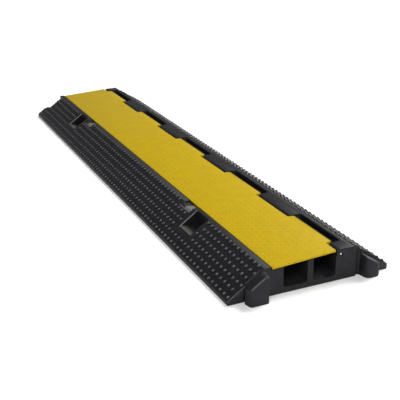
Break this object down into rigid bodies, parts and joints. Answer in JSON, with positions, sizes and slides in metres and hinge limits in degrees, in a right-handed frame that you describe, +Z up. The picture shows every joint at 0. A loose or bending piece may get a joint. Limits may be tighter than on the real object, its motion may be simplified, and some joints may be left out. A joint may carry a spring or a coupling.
{
  "type": "floor cord cover",
  "caption": "Rubber cable ramp with two covered channels under a hinged lid, studded slopes and hooked end connectors.",
  "frame": {"origin": "middle of the bounding box, on the floor plane that the flat underside rests on", "axes": "+X along the length towards the male lugs, +Y towards the hinge side, +Z up"},
  "size_m": [1.0172, 0.25, 0.0467],
  "materials": {
    "black_rubber": "matt moulded rubber with a faint grain",
    "yellow_lid": "semi-matt moulded plastic with fine raised dots",
    "rod_steel": "plain drawn steel"
  },
  "bodies": {
    "ramp": {"ramp_base": "black_rubber", "hinge_rod": "rod_steel"},
    "lid": {"lid": "yellow_lid"}
  },
  "joints": [
    {"name": "lid_hinge", "type": "hinge", "parent": "ramp", "child": "lid", "pos_m": [-0.0086, 0.0468, 0.0387], "axis": [-1, 0, 0], "range_deg": [0, 92]}
  ]
}
